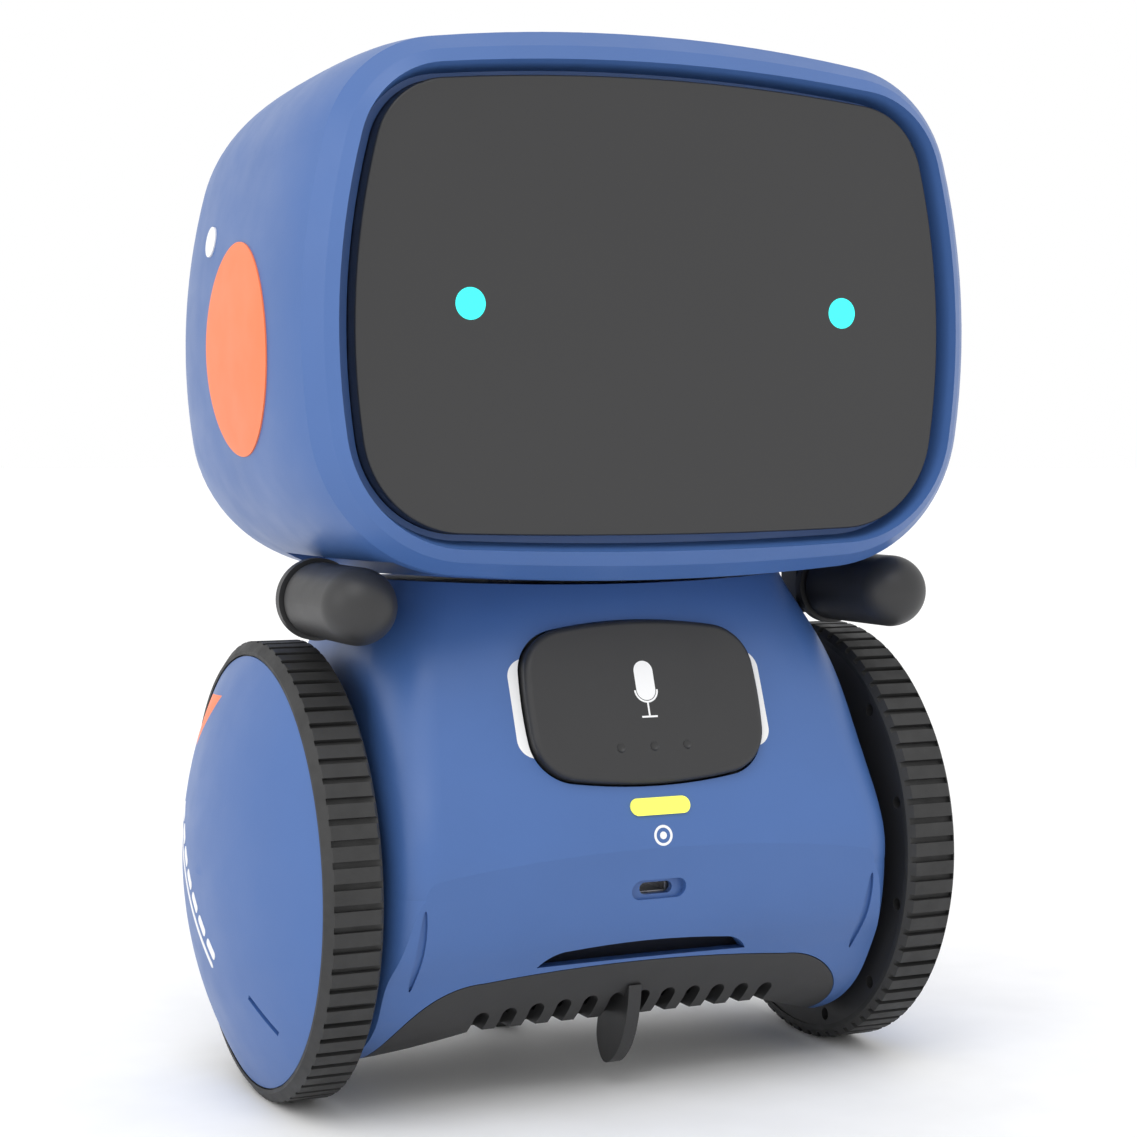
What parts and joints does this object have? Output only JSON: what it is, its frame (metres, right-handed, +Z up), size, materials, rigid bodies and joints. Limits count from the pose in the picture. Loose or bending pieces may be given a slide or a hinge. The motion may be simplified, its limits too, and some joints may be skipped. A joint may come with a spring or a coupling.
{
  "type": "two-wheeled coding robot toy",
  "caption": "Small two-wheeled toy robot: wide rounded head with a dark face screen and round eye lights, ribbed drum wheels, stub arms and a push button on its chest.",
  "frame": {"origin": "on the floor, under the middle of the overall box", "axes": "-Y towards the face, +X towards the robot's left-hand side as seen from the front right, +Z up; the wheel axle lies along X"},
  "size_m": [0.108, 0.0796, 0.1423],
  "materials": {
    "blue_plastic": "fine satin moulding",
    "screen": "dark tinted, satin",
    "eye_glow": "translucent, lit from behind",
    "orange_plastic": "satin",
    "white_plastic": "satin",
    "black_plastic": "fine spark-eroded texture",
    "status_light": "translucent light pipe",
    "tinted_window": "dark tinted",
    "tyre_rubber": "moulded ribs",
    "gear_plastic": "natural acetal",
    "steel": "drawn",
    "brass": "turned",
    "grey_plastic": "moulded",
    "circuit_board": "solder mask",
    "battery_wrap": "foil wrap"
  },
  "bodies": {
    "torso": {"torso_front_shell": "blue_plastic", "torso_rear_shell": "blue_plastic", "chin_grille": "black_plastic", "front_fin": "black_plastic", "rear_skid": "black_plastic", "button_strip": "white_plastic", "status_lens": "status_light", "record_mark": "white_plastic", "charge_socket": "steel", "front_sensor_window": "tinted_window", "shoulder_bracket_left": "black_plastic", "shoulder_bracket_right": "black_plastic", "shoulder_pins": "steel", "button_switch": "grey_plastic", "main_board": "circuit_board", "drive_motor_left": "steel", "drive_motor_right": "steel", "gearbox_frame_left": "grey_plastic", "gearbox_frame_right": "grey_plastic", "idler_pins": "steel", "axle_bushes": "brass", "battery_pack": "battery_wrap", "speaker": "grey_plastic", "neck_collar": "white_plastic", "power_switch_body": "black_plastic"},
    "head": {"head_rear_shell": "blue_plastic", "head_front_bezel": "blue_plastic", "screen_panel": "screen", "eye_lights": "eye_glow", "face_board": "circuit_board", "board_standoffs": "grey_plastic", "bezel_bosses": "grey_plastic", "bezel_screws": "steel", "touch_plates": "steel", "ear_left": "orange_plastic", "ear_right": "orange_plastic", "ear_dots": "white_plastic", "neck_post": "grey_plastic", "neck_clip": "steel"},
    "arm_left": {"arm_left": "black_plastic"},
    "arm_right": {"arm_right": "black_plastic"},
    "record_button": {"record_button": "black_plastic", "microphone_symbol": "white_plastic"},
    "power_slider": {"power_slider": "black_plastic"},
    "wheel_left": {"tyre_left": "tyre_rubber", "wheel_hub_left": "black_plastic", "wheel_cover_left": "blue_plastic", "cover_badge_left": "orange_plastic", "wheel_axle_left": "steel", "output_gear_left": "gear_plastic"},
    "idler_left": {"idler_gear_left": "gear_plastic"},
    "pinion_left": {"motor_pinion_left": "brass"},
    "wheel_right": {"tyre_right": "tyre_rubber", "wheel_hub_right": "black_plastic", "wheel_cover_right": "blue_plastic", "cover_badge_right": "orange_plastic", "wheel_axle_right": "steel", "output_gear_right": "gear_plastic"},
    "idler_right": {"idler_gear_right": "gear_plastic"},
    "pinion_right": {"motor_pinion_right": "brass"}
  },
  "joints": [
    {"name": "head_turn", "type": "hinge", "parent": "torso", "child": "head", "pos_m": [0, -0.0083, 0.068], "axis": [0, 0, 1], "range_deg": [-10, 10]},
    {"name": "record_press", "type": "slide", "parent": "torso", "child": "record_button", "axis": [0, 0.9415, -0.3371], "range_m": [0, 0.0008], "stiffness_N_per_m": 1500, "springref_m": -0.0002},
    {"name": "power_slide", "type": "slide", "parent": "torso", "child": "power_slider", "axis": [1, 0, 0], "range_m": [0, 0.002]},
    {"name": "arm_left_swing", "type": "hinge", "parent": "torso", "child": "arm_left", "pos_m": [-0.0396, -0.0113, 0.068], "axis": [0, 0, -1], "range_deg": [0, 75]},
    {"name": "wheel_left_spin", "type": "hinge", "parent": "torso", "child": "wheel_left", "pos_m": [-0.04, -0.0083, 0.031], "axis": [1, 0, 0], "continuous": true},
    {"name": "idler_left_spin", "type": "hinge", "parent": "torso", "child": "idler_left", "pos_m": [-0.03, 0.00006, 0.04096], "axis": [1, 0, 0], "continuous": true},
    {"name": "pinion_left_spin", "type": "hinge", "parent": "torso", "child": "pinion_left", "pos_m": [-0.028, -0.00558, 0.05155], "axis": [1, 0, 0], "continuous": true},
    {"name": "arm_right_swing", "type": "hinge", "parent": "torso", "child": "arm_right", "pos_m": [0.0396, -0.0113, 0.068], "axis": [0, 0, 1], "range_deg": [0, 75]},
    {"name": "wheel_right_spin", "type": "hinge", "parent": "torso", "child": "wheel_right", "pos_m": [0.04, -0.0083, 0.031], "axis": [1, 0, 0], "continuous": true},
    {"name": "idler_right_spin", "type": "hinge", "parent": "torso", "child": "idler_right", "pos_m": [0.03, 0.00006, 0.04096], "axis": [1, 0, 0], "continuous": true},
    {"name": "pinion_right_spin", "type": "hinge", "parent": "torso", "child": "pinion_right", "pos_m": [0.028, -0.00558, 0.05155], "axis": [1, 0, 0], "continuous": true}
  ],
  "couplings": [
    {"joint": "idler_left_spin", "follows": "wheel_left_spin", "ratio": -3.3333},
    {"joint": "pinion_left_spin", "follows": "wheel_left_spin", "ratio": 10},
    {"joint": "idler_right_spin", "follows": "wheel_right_spin", "ratio": -3.3333},
    {"joint": "pinion_right_spin", "follows": "wheel_right_spin", "ratio": 10}
  ]
}
